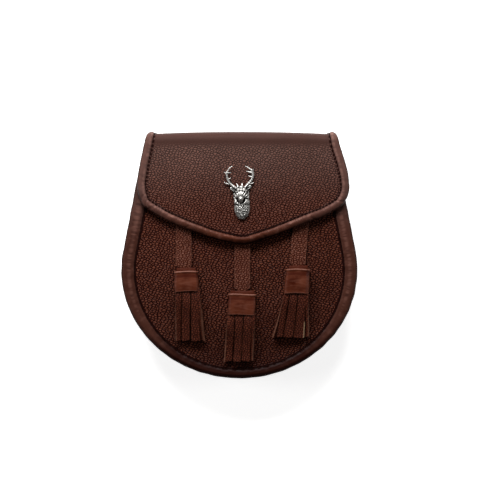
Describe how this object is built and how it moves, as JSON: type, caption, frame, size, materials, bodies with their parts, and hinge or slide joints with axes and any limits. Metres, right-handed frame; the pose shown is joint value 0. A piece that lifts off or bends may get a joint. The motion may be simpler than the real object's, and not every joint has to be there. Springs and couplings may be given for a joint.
{
  "type": "sporran pouch",
  "caption": "Leather day sporran pouch with a bound flap, a pewter stag's head badge, leather tassels and hanging loops on the back.",
  "frame": {"origin": "under the middle of the pouch, on the surface that it lies on", "axes": "+Z out of the front of the pouch, +Y towards its top edge, +X towards its right side as seen from the front"},
  "size_m": [0.203, 0.2124, 0.0528],
  "materials": {
    "grain_leather": "pebbled grain, dark reddish brown",
    "binding_leather": "smooth, slight sheen",
    "strap_leather": "grained, lighter reddish brown",
    "cap_leather": "smooth, semi-gloss reddish brown",
    "fringe_leather": "grained, dark brown with raw cut edges",
    "pewter": "cast pewter with dark antique patina",
    "steel": "plain"
  },
  "bodies": {
    "root": {"front_panel": "grain_leather", "back_panel": "grain_leather", "gusset": "grain_leather", "front_binding": "binding_leather", "back_binding": "binding_leather", "flap": "grain_leather", "flap_binding": "binding_leather", "stag_badge": "pewter", "tassel_strap_left": "strap_leather", "tassel_strap_middle": "strap_leather", "tassel_strap_right": "strap_leather", "tassel_cap_left": "cap_leather", "tassel_cap_middle": "cap_leather", "tassel_cap_right": "cap_leather", "tassel_fringe_left": "fringe_leather", "tassel_fringe_middle": "fringe_leather", "tassel_fringe_right": "fringe_leather", "hanging_loop_left": "strap_leather", "hanging_loop_right": "strap_leather", "flap_stud": "steel"}
  },
  "joints": []
}
